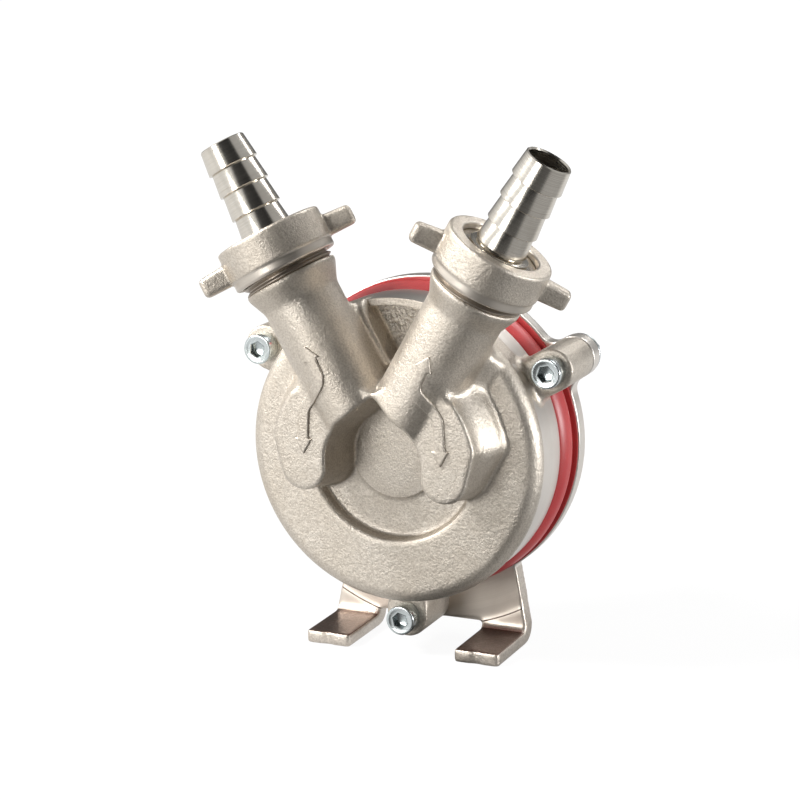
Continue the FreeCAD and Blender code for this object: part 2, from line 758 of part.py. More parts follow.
def water_slinger():
    """Rubber slinger that throws off what passes the seal."""
    start = seal_end + slinger_offset
    inner = shaft_radius + running_gap
    rim_start = start + slinger_wall + slinger_flare
    return turned([
        (inner, start), (inner + slinger_hub, start), (inner + slinger_hub, start + slinger_wall),
        (inner + slinger_reach, rim_start), (inner + slinger_reach - slinger_lip, rim_start + slinger_lip),
        (inner + slinger_sleeve, start + slinger_sleeve), (inner + slinger_sleeve, start + slinger_length),
        (inner, start + slinger_length)])


def race_middle():
    return (inner_ring_radius + outer_ring_inner_radius) / 2


def race(y_middle):
    """Torus that the balls' track takes out of both rings."""
    return Part.makeTorus(race_middle(), race_radius, V(0, y_middle, 0), AXIS)


def bearing_outer(y_start):
    outer = bearing_outer_radius - bearing_gap
    end = y_start + bearing_width
    body = turned([
        (outer_ring_inner_radius, y_start), (outer - bearing_edge, y_start), (outer, y_start + bearing_edge),
        (outer, end - bearing_edge), (outer - bearing_edge, end), (outer_ring_inner_radius, end)])
    return body.cut(race(y_start + bearing_width / 2))


def bearing_inner(y_start):
    end = y_start + bearing_width
    body = ring(inner_ring_radius, shaft_radius + running_gap, y_start, end)
    return body.cut(race(y_start + bearing_width / 2))


def bearing_balls(y_start):
    middle = y_start + bearing_width / 2
    ball = Part.makeSphere(ball_radius, V(race_middle(), middle, 0))
    return Part.makeCompound([at_angle(ball, 360 * k / ball_count) for k in range(ball_count)])


def bearing_cage(y_start):
    """Cage ring with a round pocket for each ball."""
    middle = y_start + bearing_width / 2
    cage = ring(cage_outer, cage_inner, middle - cage_half_width, middle + cage_half_width)
    pocket = Part.makeCylinder(ball_radius + pocket_gap, cage_outer + past, V(0, middle, 0), V(1, 0, 0))
    for k in range(ball_count):
        cage = cage.cut(at_angle(pocket, 360 * k / ball_count))
    return cage


def bearing_shields(y_start):
    """Two thin shields, one in each side of the bearing."""
    outer = outer_ring_inner_radius - bearing_gap
    inner = inner_ring_radius + shield_gap
    first = y_start + shield_inset
    second = y_start + bearing_width - shield_inset - shield_thickness
    return Part.makeCompound([ring(outer, inner, y, y + shield_thickness) for y in (first, second)])


def bearing_spacer():
    return ring(bearing_outer_radius - bearing_gap, outer_ring_inner_radius,
                front_bearing_start + bearing_width, rear_bearing_start)


def all_pieces():
    """Every piece of the pump by name."""
    pieces = {
        "front_casting": front_casting(),
        "rear_cover": rear_cover(),
        "seal_ring": seal_ring(),
        "cover_screws": cover_screws(),
        "cover_nuts": cover_nuts(),
        "front_bush": front_bush(),
        "impeller": impeller(),
        "impeller_key": impeller_key(),
        "impeller_circlip": retaining_ring(front_ring_start(), ring_opening),
        "drive_shaft": drive_shaft(),
        "shaft_seal": shaft_seal(),
        "seal_spring": seal_spring(),
        "water_slinger": water_slinger(),
        "bearing_spacer": bearing_spacer(),
        "neck_circlip": neck_circlip(),
        "shaft_circlip": retaining_ring(rear_bearing_end, ring_opening),
    }
    for name, side in (("left", -1), ("right", 1)):
        pieces[name + "_hose_tail"] = on_branch(hose_tail(), side)
        pieces[name + "_tail_gasket"] = on_branch(tail_gasket(), side)
        pieces[name + "_union_nut"] = on_branch(union_nut(), side)
    for name, start in (("front", front_bearing_start), ("rear", rear_bearing_start)):
        pieces[name + "_bearing_outer"] = bearing_outer(start)
        pieces[name + "_bearing_inner"] = bearing_inner(start)
        pieces[name + "_bearing_balls"] = bearing_balls(start)
        pieces[name + "_bearing_cage"] = bearing_cage(start)
        pieces[name + "_bearing_shields"] = bearing_shields(start)
    return pieces


def main():
    os.makedirs("parts", exist_ok=True)
    for name, shape in all_pieces().items():
        shape.translate(V(0, -middle_depth, sole_height))
        shape.exportStep("parts/" + name + ".step")
        print(name, "solids", len(shape.Solids), "valid", shape.isValid(), "volume", round(shape.Volume, 1))


main()
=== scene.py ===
import bpy
import math
from types import SimpleNamespace as Values
from mathutils import Vector, Matrix, Quaternion


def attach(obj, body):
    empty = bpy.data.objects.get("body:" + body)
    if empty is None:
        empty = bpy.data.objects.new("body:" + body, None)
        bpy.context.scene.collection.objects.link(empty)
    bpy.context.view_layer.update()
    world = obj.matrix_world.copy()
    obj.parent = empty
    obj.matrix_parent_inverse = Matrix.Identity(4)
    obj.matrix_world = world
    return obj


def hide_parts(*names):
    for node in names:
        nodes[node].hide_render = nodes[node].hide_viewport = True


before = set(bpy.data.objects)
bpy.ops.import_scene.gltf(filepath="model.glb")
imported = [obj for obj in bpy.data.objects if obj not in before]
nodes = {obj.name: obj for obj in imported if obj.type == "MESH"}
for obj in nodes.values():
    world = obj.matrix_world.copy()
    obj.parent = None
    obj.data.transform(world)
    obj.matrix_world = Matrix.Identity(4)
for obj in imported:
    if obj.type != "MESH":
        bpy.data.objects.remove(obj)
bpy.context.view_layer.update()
print("frame loaded,", len(nodes), "nodes")

# The pump is drawn about its shaft axis in millimetres, with y 0 at the casting's rear face.
shaftHeight = 60.4
rearFace = -14.775
lean = 29.5         # degrees, branches from the vertical
branchFront = 23.1  # branch axes in front of the casting's rear face
mergeDistance = 0.000002
smoothFactor = 0.5
cavityRange = 1 / 16    # change of the dirt paint's tone that makes a full hollow or edge


def at(x, y, z):
    return Vector((x / 1000, (y + rearFace) / 1000, (z + shaftHeight) / 1000))


def mm(value):
    return value / 1000


def deselect():
    if bpy.context.object and bpy.context.object.mode != "OBJECT":
        bpy.ops.object.mode_set(mode="OBJECT")
    bpy.ops.object.select_all(action="DESELECT")


def activate(piece):
    deselect()
    piece.select_set(True)
    bpy.context.view_layer.objects.active = piece


def edit(piece, action="DESELECT"):
    activate(piece)
    bpy.ops.object.mode_set(mode="EDIT")
    bpy.ops.mesh.select_all(action=action)


def leave():
    bpy.ops.object.mode_set(mode="OBJECT")


def addModifier(piece, kind, **settings):
    activate(piece)
    modifier = piece.modifiers.new(kind.title(), kind)
    for key, value in settings.items():
        setattr(modifier, key, value)
    bpy.ops.object.modifier_apply(modifier=modifier.name)


def settle(piece):
    # puts the piece's place into its mesh
    activate(piece)
    bpy.ops.object.transform_apply(location=True, rotation=True, scale=True)


def outwards(piece):
    edit(piece, "SELECT")
    bpy.ops.mesh.remove_doubles(threshold=mergeDistance)
    bpy.ops.mesh.normals_make_consistent(inside=False)
    leave()


def smooth(piece, angle=35):
    activate(piece)
    bpy.ops.object.shade_smooth_by_angle(angle=math.radians(angle))


def copyNode(name, newName):
    # a merged copy of a CAD node's mesh
    activate(nodes[name])
    piece = nodes[name].copy()
    piece.data = nodes[name].data.copy()
    piece.parent = None
    for key in list(piece.keys()):
        del piece[key]
    bpy.context.scene.collection.objects.link(piece)
    piece.name = newName
    piece.hide_render = False
    piece.hide_viewport = False
    outwards(piece)
    return piece


def copyPiece(piece, newName):
    other = piece.copy()
    other.data = piece.data.copy()
    bpy.context.scene.collection.objects.link(other)
    other.name = newName
    return other


def join(pieces, newName):
    activate(pieces[0])
    for other in pieces[1:]:
        other.select_set(True)
    bpy.ops.object.join()
    pieces[0].name = newName
    return pieces[0]


def turnPiece(piece, degrees, axis):
    # turns the mesh about an axis through the origin
    piece.data.transform(Matrix.Rotation(math.radians(degrees), 4, axis))
    piece.data.update()


def movePiece(piece, offset):
    activate(piece)
    piece.location = offset
    settle(piece)


def toShaft(piece):
    # from a lathe drawing about Z to the shaft axis, its +Z becomes -Y
    turnPiece(piece, 90, "X")
    movePiece(piece, at(0, 0, 0))


def toBranch(piece, side):
    turnPiece(piece, side * lean, "Y")
    movePiece(piece, at(0, -branchFront, 0))


def drawLine(name, points):
    # one vertex drawn out along the points, and the piece left in edit mode
    bpy.ops.mesh.primitive_plane_add(size=0.001)
    piece = bpy.context.object
    piece.name = name
    edit(piece, "SELECT")
    bpy.ops.mesh.merge(type="CENTER")
    bpy.ops.transform.translate(value=points[0])
    for here, there in zip(points, points[1:]):
        bpy.ops.mesh.extrude_region_move(TRANSFORM_OT_translate={"value": there - here})
    return piece


def mergeAll():
    bpy.ops.mesh.select_all(action="SELECT")
    bpy.ops.mesh.remove_doubles(threshold=mergeDistance)
    bpy.ops.mesh.select_all(action="SELECT")


def lathe(name, profile, steps, closed=True):
    # spins a line of (radius, height) points, in millimetres, about Z
    if closed:
        profile = profile + profile[:1]
    piece = drawLine(name, [Vector((mm(radius), 0, mm(height))) for radius, height in profile])
    mergeAll()
    bpy.ops.mesh.spin(steps=steps, angle=math.tau, center=(0, 0, 0), axis=(0, 0, 1))
    leave()
    outwards(piece)
    return piece


def roundedCorner(before, corner, after, radius, count=4):
    # points of a small arc in place of a profile's corner
    a = Vector(before) - Vector(corner)
    b = Vector(after) - Vector(corner)
    half = a.angle(b) / 2
    reach = min(radius / math.tan(half), a.length * 0.49, b.length * 0.49)
    start = Vector(corner) + a.normalized() * reach
    end = Vector(corner) + b.normalized() * reach
    points = []
    for k in range(count + 1):
        t = k / count
        point = start * (1 - t) ** 2 + Vector(corner) * 2 * t * (1 - t) + end * t ** 2
        points.append((point.x, point.y))
    return points


def softened(profile, radius, corners):
    # rounds the named corners of a closed profile
    points = []
    for k, corner in enumerate(profile):
        if k in corners:
            after = profile[(k + 1) % len(profile)]
            points += roundedCorner(profile[k - 1], corner, after, radius)
        else:
            points.append(corner)
    return points


def selectVerts(piece, test):
    # edit mode is left and entered again, because the selection is made in object mode
    leave()
    for vertex in piece.data.vertices:
        vertex.select = test(vertex.co)
    bpy.ops.object.mode_set(mode="EDIT")


def smoothWhere(piece, passes, weight):
    # smooths by a weight that comes from each vertex's place
    group = piece.vertex_groups.new(name="soft")
    for vertex in piece.data.vertices:
        value = weight(vertex.co)
        if value > 0:
            group.add([vertex.index], value, "REPLACE")
    addModifier(piece, "SMOOTH", factor=smoothFactor, iterations=passes, vertex_group="soft")
    piece.vertex_groups.clear()


def remesh(piece, voxel):
    addModifier(piece, "REMESH", mode="VOXEL", voxel_size=mm(voxel))


def thin(piece, ratio):
    addModifier(piece, "DECIMATE", decimate_type="COLLAPSE", ratio=min(1, ratio))


def combine(piece, operation, tool):
    addModifier(piece, "BOOLEAN", operation=operation, object=tool, solver="EXACT")
    bpy.data.objects.remove(tool)


def paintCavity(piece, blur=2):
    # Blender's dirt paint tool, its tone split into hollows, which get painted shade with some soil, and
    # edges, which get a painted highlight with some wear, both 0 on flat metal
    activate(piece)
    bpy.ops.geometry.color_attribute_add(name="dirt", domain="POINT", data_type="FLOAT_COLOR")
    bpy.ops.object.mode_set(mode="VERTEX_PAINT")
    bpy.ops.paint.vertex_color_dirt(blur_strength=1.0, blur_iterations=blur, dirt_angle=0,
                                    clean_angle=math.pi, normalize=False)
    bpy.ops.object.mode_set(mode="OBJECT")
    data = piece.data
    colours = [0.0] * (4 * len(data.vertices))
    data.attributes["dirt"].data.foreach_get("color", colours)
    tones = colours[::4]
    level = sorted(tones)[len(tones) // 2]
    for name, sign in (("hollowShadeAndSoil", -1), ("edgeSheenAndWear", 1)):
        layer = data.attributes.new(name, "FLOAT", "POINT")
        layer.data.foreach_set("value", [ramp(sign * (tone - level), 0, cavityRange) for tone in tones])
    data.attributes.remove(data.attributes["dirt"])


def pumpPlace(co):
    return co.x * 1000, co.y * 1000 - rearFace, co.z * 1000 - shaftHeight


def branchPlace(co, side):
    # distance along a branch's axis and away from it
    x, y, z = pumpPlace(co)
    angle = math.radians(lean)
    along = side * x * math.sin(angle) + z * math.cos(angle)
    across = side * x * math.cos(angle) - z * math.sin(angle)
    return along, math.hypot(across, y + branchFront)


def ramp(value, low, high):
    return min(1, max(0, (value - low) / (high - low)))


# Nodes of the materials, the floor and the sky

def addNode(tree, kind, **settings):
    # nodes stand in rows, in the order in which they are made
    row, column = divmod(len(tree.nodes), 8)
    node = tree.nodes.new("ShaderNode" + kind)
    node.location = (200 * column - 1900, 600 - 320 * row)
    for key, value in settings.items():
        setattr(node, key, value)
    return node


def feed(tree, socket, value):
    # a socket takes another node's output, or a number or a colour of its own
    if isinstance(value, bpy.types.NodeSocket):
        tree.links.new(value, socket)
    elif socket.type == "RGBA":
        socket.default_value = tuple(value) + (1,)
    else:
        socket.default_value = value


def fedNode(tree, kind, inputs, **settings):
    node = addNode(tree, kind, **settings)
    for key, value in inputs.items():
        feed(tree, node.inputs[key], value)
    return node


def mathNode(tree, operation, *values):
    return fedNode(tree, "Math", dict(enumerate(values)), operation=operation).outputs[0]


def vectorNode(tree, operation, *values):
    # its number for a length or a dot product, else its vector
    node = fedNode(tree, "VectorMath", dict(enumerate(values)), operation=operation)
    return node.outputs["Value" if operation in ("LENGTH", "DOT_PRODUCT") else "Vector"]


def noiseNode(tree, vector, scale, detail=2.0, roughness=0.5, distortion=0.0):
    inputs = {"Vector": vector, "Scale": scale, "Detail": detail, "Roughness": roughness,
              "Distortion": distortion}
    return fedNode(tree, "TexNoise", inputs).outputs["Fac"]


def rampNode(tree, value, low, high, least=0.0, most=1.0, shape="LINEAR"):
    # low to high becomes least to most
    inputs = {"Value": value, "From Min": low, "From Max": high, "To Min": least, "To Max": most}
    return fedNode(tree, "MapRange", inputs, interpolation_type=shape).outputs["Result"]


def mixColour(tree, factor, first, second):
    return fedNode(tree, "Mix", {0: factor, 6: first, 7: second}, data_type="RGBA").outputs[2]


def newGroup(name, inputs, outputs):
    group = bpy.data.node_groups.new(name, "ShaderNodeTree")
    group.interface.new_socket(name="Vector", in_out="INPUT", socket_type="NodeSocketVector")
    for label, value in inputs.items():
        socket = group.interface.new_socket(name=label, in_out="INPUT", socket_type="NodeSocketFloat")
        socket.default_value = value
    for label in outputs:
        group.interface.new_socket(name=label, in_out="OUTPUT", socket_type="NodeSocketFloat")
    entry = group.nodes.new("NodeGroupInput")
    leaving = group.nodes.new("NodeGroupOutput")
    entry.location = (-2200, 0)
    leaving.location = (0, 0)
    return group, entry.outputs, leaving.inputs


surface = Values(
    # scales are per metre, and a range turns noise into a mask
    lumpScale=700, stainScale=70, pitRange=(0.60, 0.36), stainRange=(0.35, 0.65),
    broadMarks=0.12, streakRange=(0.3, 0.7),
    smudgeRange=(0.42, 0.62), dustScale=5200, dustRange=(0.68, 0.74),
    dustColour=(0.75, 0.72, 0.7),
    castSmudges=90, turnedSmudges=110, softSmudges=160, softLumps=0.3,
    # the hollow and edge shares paint shade into hollows and a highlight onto edges, together with soil
    # and wear
    hollowSoil=0.75, edgeShine=0.4, edgePolish=-0.05, smudgeShare=0.25,
    castRough=(-0.04, 0.08), turnedRough=(-0.05, 0.08),
)


def sandGrainGroup():
    # sand-cast surface: fine grain, larger lumps and slow stains
    group, given, result = newGroup("sandGrain", {"Grain Scale": 2600, "Lumps": 0.5},
                                    ("Height", "Pits", "Stain"))
    fine = noiseNode(group, given["Vector"], given["Grain Scale"], 3, 0.65)
    lumps = noiseNode(group, given["Vector"], surface.lumpScale)
    stain = noiseNode(group, given["Vector"], surface.stainScale, 4, 0.6)
    lumpHeight = mathNode(group, "MULTIPLY", lumps, given["Lumps"])
    feed(group, result["Height"], mathNode(group, "ADD", fine, lumpHeight))
    feed(group, result["Pits"], rampNode(group, fine, *surface.pitRange))
    feed(group, result["Stain"], rampNode(group, stain, *surface.stainRange))
    return group


def axisDistance(tree, vector):
    return vectorNode(tree, "LENGTH", vectorNode(tree, "MULTIPLY", vector, (1, 1, 0)))


def toolMarksGroup():
    # tool marks that run round the local Z axis, on faces and on walls
    group, given, result = newGroup("toolMarks", {"Marks Per Metre": 6000}, ("Height", "Streak"))
    radius = mathNode(group, "MULTIPLY", axisDistance(group, given["Vector"]), given["Marks Per Metre"])
    split = fedNode(group, "SeparateXYZ", {0: given["Vector"]})
    height = mathNode(group, "MULTIPLY", split.outputs["Z"], given["Marks Per Metre"])
    place = fedNode(group, "CombineXYZ", {"X": radius, "Y": height}).outputs[0]
    lines = noiseNode(group, place, 1.0, 2, 0.6)
    broad = noiseNode(group, place, surface.broadMarks)
    feed(group, result["Height"], mathNode(group, "ADD", lines, broad))
    feed(group, result["Streak"], rampNode(group, lines, *surface.streakRange))
    return group


def handlingGroup():
    # handling marks and dust: a slow mask and a fine one
    group, given, result = newGroup("handling", {"Scale": 120}, ("Smudge", "Dust"))
    slow = noiseNode(group, given["Vector"], given["Scale"], 5, 0.5, 0.6)
    dust = noiseNode(group, given["Vector"], surface.dustScale, 1)
    feed(group, result["Smudge"], rampNode(group, slow, *surface.smudgeRange))
    feed(group, result["Dust"], rampNode(group, dust, *surface.dustRange))
    return group


sandGrain = sandGrainGroup()
toolMarks = toolMarksGroup()
handling = handlingGroup()


def newMaterial(name, metallic, roughness):
    material = bpy.data.materials.new(name)
    material.use_nodes = True
    shader = material.node_tree.nodes["Principled BSDF"].inputs
    shader["Metallic"].default_value = metallic
    shader["Roughness"].default_value = roughness
    return material, material.node_tree, shader


def placed(tree, offset=(0, 0, 0), turn=(0, 0, 0)):
    # object coordinates moved and turned so that a lathe axis is the local Z axis
    place = addNode(tree, "TexCoord").outputs["Object"]
    place = fedNode(tree, "Mapping", {"Vector": place, "Location": [-v for v in offset]}).outputs[0]
    if any(turn):
        angles = [math.radians(v) for v in turn]
        place = fedNode(tree, "Mapping", {"Vector": place, "Rotation": angles}).outputs[0]
    return place


def groupNode(tree, group, **inputs):
    # an underscore in a name stands for a space
    inputs = {key.replace("_", " "): value for key, value in inputs.items()}
    return fedNode(tree, "Group", inputs, node_tree=group).outputs


def addBump(tree, shader, height, look):
    node = fedNode(tree, "Bump", {"Height": height, "Strength": look.bump, "Distance": mm(look.depth)})
    feed(tree, shader["Normal"], node.outputs["Normal"])


def castMaterial(name, look):
    # nickel over a sand casting, hollows darkened with painted shade and some soil, edges brightened with
    # a painted highlight and some rubbing wear
    material, tree, shader = newMaterial(name, look.metallic, look.roughness)
    coords = placed(tree)
    grain = groupNode(tree, sandGrain, Vector=coords, Grain_Scale=look.grainScale, Lumps=look.lumps)
    marks = groupNode(tree, handling, Vector=coords, Scale=surface.castSmudges)
    hollowShadeAndSoil = addNode(tree, "Attribute", attribute_name="hollowShadeAndSoil").outputs["Fac"]
    edgeSheenAndWear = addNode(tree, "Attribute", attribute_name="edgeSheenAndWear").outputs["Fac"]
    colour = mixColour(tree, grain["Stain"], look.light, look.warm)
    # pits, then painted shade with some soil in hollows, then a painted highlight with some wear on edges
    for mask, share, shade in ((grain["Pits"], look.pitting, look.dark),
                               (hollowShadeAndSoil, surface.hollowSoil, look.soil),
                               (edgeSheenAndWear, surface.edgeShine, look.bright)):
        colour = mixColour(tree, mathNode(tree, "MULTIPLY", mask, share), colour, shade)
    feed(tree, shader["Base Color"], colour)
    least, most = (look.roughness + change for change in surface.castRough)
    rough = rampNode(tree, marks["Smudge"], 0, 1, least, most)
    polish = mathNode(tree, "MULTIPLY", edgeSheenAndWear, surface.edgePolish)
    feed(tree, shader["Roughness"], mathNode(tree, "ADD", rough, polish))
    addBump(tree, shader, grain["Height"], look)
    return material


def turnedMaterial(name, look, offset, turn):
    # turned or ground metal with marks about an axis
    material, tree, shader = newMaterial(name, look.metallic, look.roughness)
    coords = placed(tree, offset, turn)
    marks = groupNode(tree, toolMarks, Vector=coords, Marks_Per_Metre=look.marks)
    smudges = groupNode(tree, handling, Vector=coords, Scale=surface.turnedSmudges)
    colour = mixColour(tree, marks["Streak"], look.dark, look.light)
    smudge = mathNode(tree, "MULTIPLY", smudges["Smudge"], surface.smudgeShare)
    colour = mixColour(tree, smudge, colour, look.smudge)
    if name == "legTurned":
        # the fine dark line where the tool stopped on the legs, a painted shadow along the edge of the
        # turned face
        away = mathNode(tree, "SUBTRACT", axisDistance(tree, coords), legShadowLine.radius)
        line = rampNode(tree, mathNode(tree, "ABSOLUTE", away), *legShadowLine.width)
        colour = mixColour(tree, line, colour, legShadowLine.colour)
    feed(tree, shader["Base Color"], colour)
    least, most = (look.roughness + change for change in surface.turnedRough)
    feed(tree, shader["Roughness"], rampNode(tree, marks["Streak"], 0, 1, least, most))
    addBump(tree, shader, marks["Height"], look)
    return material


def softMaterial(name, look):
    # rubber, silicone and fibre: fine skin and a little dust
    material, tree, shader = newMaterial(name, 0.0, look.roughness)
    shader["Subsurface Weight"].default_value = glow.get(name, 0.0)
    coords = placed(tree)
    marks = groupNode(tree, handling, Vector=coords, Scale=surface.softSmudges)
    grain = groupNode(tree, sandGrain, Vector=coords, Grain_Scale=look.grainScale,
                      Lumps=surface.softLumps)
    colour = mixColour(tree, grain["Stain"], look.light, look.dark)
    dust = mathNode(tree, "MULTIPLY", marks["Dust"], look.dust)
    feed(tree, shader["Base Color"], mixColour(tree, dust, colour, surface.dustColour))
    addBump(tree, shader, grain["Height"], look)
    return material


# columns first, then one row for each material, with scales per metre and depths in millimetres
castLooks = {
    # the fourth colour paints shade with some soil into hollows, and the fifth paints a highlight with
    # some wear onto edges
    "columns": ("light", "warm", "dark", "soil", "bright", "metallic", "roughness", "grainScale",
                "lumps", "pitting", "bump", "depth"),
    "castNickel": ((0.68, 0.625, 0.55), (0.64, 0.58, 0.50), (0.40, 0.35, 0.295), (0.20, 0.165, 0.135),
                   (0.84, 0.80, 0.73), 0.85, 0.44, 1950, 0.9, 0.62, 0.8, 0.16),
    "coarseNickel": ((0.60, 0.55, 0.48), (0.54, 0.49, 0.42), (0.28, 0.245, 0.21), (0.18, 0.15, 0.12),
                     (0.74, 0.70, 0.64), 0.85, 0.42, 1400, 1.0, 0.75, 0.9, 0.25),
    # foot tops: the same nickel, its dark brown colour a painted shade standing for the dark surround they
    # reflect
    "footTop": ((0.225, 0.168, 0.14), (0.18, 0.13, 0.107), (0.095, 0.068, 0.057), (0.10, 0.07, 0.06),
                (0.70, 0.63, 0.56), 0.9, 0.34, 1700, 0.5, 0.5, 0.7, 0.16),
    "legCast": ((0.70, 0.64, 0.57), (0.62, 0.55, 0.475), (0.30, 0.25, 0.21), (0.20, 0.16, 0.13),
                (0.80, 0.75, 0.68), 0.88, 0.34, 1700, 0.6, 0.4, 0.7, 0.2),
}
turnedLooks = {
    "columns": ("light", "dark", "smudge", "metallic", "roughness", "marks", "bump", "depth"),
    "threadNickel": ((0.50, 0.45, 0.39), (0.36, 0.31, 0.26), (0.24, 0.19, 0.15), 0.9, 0.36, 5200, 0.3,
                     0.04),
    "bandNickel": ((0.66, 0.61, 0.545), (0.58, 0.53, 0.465), (0.48, 0.42, 0.36), 0.9, 0.37, 4200, 0.2,
                   0.03),
    "turnedNickel": ((0.78, 0.74, 0.69), (0.69, 0.65, 0.60), (0.64, 0.575, 0.51), 0.9, 0.33, 3800, 0.05,
                     0.01),
    "legTurned": ((0.77, 0.695, 0.61), (0.72, 0.645, 0.565), (0.60, 0.515, 0.435), 0.9, 0.38, 5200, 0.02,
                  0.01),
    "tailNickel": ((0.82, 0.78, 0.705), (0.60, 0.555, 0.49), (0.50, 0.45, 0.385), 1.0, 0.16, 7000, 0.30,
                   0.02),
    "zinc": ((0.72, 0.765, 0.775), (0.60, 0.65, 0.66), (0.56, 0.62, 0.56), 1.0, 0.20, 5200, 0.08, 0.02),
    "socketZinc": ((0.64, 0.69, 0.70), (0.50, 0.55, 0.56), (0.40, 0.45, 0.41), 1.0, 0.16, 5200, 0.08,
                   0.02),
    "brass": ((0.80, 0.62, 0.30), (0.68, 0.50, 0.22), (0.5, 0.36, 0.18), 1.0, 0.3, 4200, 0.2, 0.03),
    "bronze": ((0.64, 0.42, 0.24), (0.52, 0.33, 0.18), (0.36, 0.22, 0.12), 1.0, 0.38, 4200, 0.2, 0.03),
    "stainless": ((0.70, 0.70, 0.70), (0.60, 0.60, 0.60), (0.5, 0.49, 0.47), 1.0, 0.22, 9000, 0.12, 0.02),
    "bearingSteel": ((0.72, 0.72, 0.73), (0.64, 0.64, 0.65), (0.5, 0.5, 0.5), 1.0, 0.14, 9000, 0.06, 0.01),
    "springSteel": ((0.16, 0.16, 0.165), (0.11, 0.11, 0.115), (0.2, 0.17, 0.14), 0.9, 0.34, 5000, 0.1,
                    0.02),
    "shieldSteel": ((0.60, 0.60, 0.61), (0.52, 0.52, 0.53), (0.42, 0.41, 0.4), 1.0, 0.3, 5000, 0.12, 0.02),
}
softLooks = {
    "columns": ("light", "dark", "roughness", "grainScale", "bump", "depth", "dust"),
    "redSilicone": ((0.60, 0.075, 0.075), (0.52, 0.055, 0.06), 0.36, 3000, 0.1, 0.03, 0.18),
    "blackRubber": ((0.030, 0.030, 0.030), (0.020, 0.020, 0.020), 0.5, 3200, 0.2, 0.03, 0.3),
    "fibre": ((0.10, 0.095, 0.09), (0.07, 0.065, 0.06), 0.75, 2200, 0.5, 0.06, 0.2),
    "cagePlastic": ((0.22, 0.18, 0.12), (0.18, 0.145, 0.09), 0.5, 2600, 0.15, 0.03, 0.1),
}
# painted shadow line along the arc where the legs' turned face ends
legShadowLine = Values(radius=0.0573, width=(0.00026, 0.000104), colour=(0.07, 0.045, 0.035))
glow = {"redSilicone": 0.05}


def looks(table):
    columns = table["columns"]
    return {name: Values(**dict(zip(columns, row)))
            for name, row in table.items() if name != "columns"}


coats = {}
sides = ((-1, "left"), (1, "right"))
for name, look in looks(castLooks).items():
    coats[name] = castMaterial(name, look)
for name, look in looks(softLooks).items():
    coats[name] = softMaterial(name, look)
for name, look in looks(turnedLooks).items():
    if name in ("tailNickel", "threadNickel", "bandNickel"):
        # tool marks round each branch's own axis
        for side, label in sides:
            coats[name, side] = turnedMaterial(name + label.title(), look, at(0, -branchFront, 0),
                                               (0, -side * lean, 0))
    else:
        coats[name] = turnedMaterial(name, look, at(0, 0, 0), (90, 0, 0))
print("materials made")


def finish(piece, coatNames, body, slotName, *replaced):
    # the materials that the polygons have been given by number are kept
    last = len(coatNames) - 1
    indexes = [min(polygon.material_index, last) for polygon in piece.data.polygons]
    piece.data.materials.clear()
    for name in coatNames:
        piece.data.materials.append(coats[name])
    piece.data.polygons.foreach_set("material_index", indexes)
    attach(piece, body)
    if replaced:
        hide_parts(*replaced)
    print("made", piece.name, len(piece.data.polygons), "faces")


# better materials in the CAD nodes' own slots
nodeCoats = {
    "turnedNickel": ("rear_cover",), "bronze": ("front_bush",), "brass": ("impeller",),
    "stainless": ("impeller_key", "drive_shaft"), "redSilicone": ("seal_ring",),
    "springSteel": ("impeller_circlip", "seal_spring", "neck_circlip", "shaft_circlip"),
    "blackRubber": ("shaft_seal", "water_slinger"), "zinc": ("cover_screws", "cover_nuts"),
    "fibre": ("left_tail_gasket", "right_tail_gasket"),
    "castNickel": ("front_casting", "left_union_nut", "right_union_nut"),
    ("tailNickel", -1): ("left_hose_tail",), ("tailNickel", 1): ("right_hose_tail",),
    "bearingSteel": [end + "_bearing_" + part for end in ("front", "rear")
                     for part in ("outer", "inner", "balls")],
    "cagePlastic": ("front_bearing_cage", "rear_bearing_cage"),
    "shieldSteel": ("bearing_spacer", "front_bearing_shields", "rear_bearing_shields"),
}
for coat, names in nodeCoats.items():
    for name in names:
        slots = nodes[name].data.materials
        if len(slots) == 0:
            slots.append(None)
        for k in range(len(slots)):
            slots[k] = coats[coat]
print("frame dressed")
castBody = Values(
    firstVoxel=0.50,    # mm, first remesh, which the corner blends are made on
    lastVoxel=0.42,
    blendPasses=8,
    finalPasses=2,
    keepTriangles=172000,
    spudStart=56.2,     # where the threads begin along a branch
    arrowFront=45,      # the arrows' outlines start this far in front
    # middle and reach, on both sides: lobe flanks and corners, roots of the ears
    softSpots=[((25.5, -22.5, 22.5), 6.5), ((30.8, -19.5, 30.5), 6.0), ((21.8, -30.9, 21.4), 3.6),
                  ((32.6, -22.5, 5.8), 5.5), ((39.9, -8.5, 17.0), 4.6), ((34.6, -8.5, 26.5), 4.0),
                  ((5.5, -8.5, -43.1), 4.3)],
    spotPasses=80,
)
castZones = Values(
    # millimetres at which the turned places end and the rough casting begins
    rim=(13.2, 14.2), wallRadius=44, wallFront=14.0,
    ears=(44.5, 46), earSeats=(-8.0, -7.0), earShare=0.6,
    bore=9.2, boreStart=12, branchStart=20, branchReach=14, branchSkin=(9.4, 10.2),
    threadStart=(54.5, 55.5), sectorRadius=42, sectorLow=20, sectorBack=9, sectorBore=9.5,
)
flowArrow = Values(
    line=[(18.35, 32.3), (16.4, 28.5), (13.5, 22.9), (19.9, 14.3), (20.3, 5.8), (20.3, 1.2)],
    shaftWidth=3.1,
    headWidth=5.2,
    bend=4.5,            # radius of the bends
    height=0.66,
    sunk=0.7,
    cuts=4,
    voxel=0.17,
    passes=20,
    keep=0.5,
)


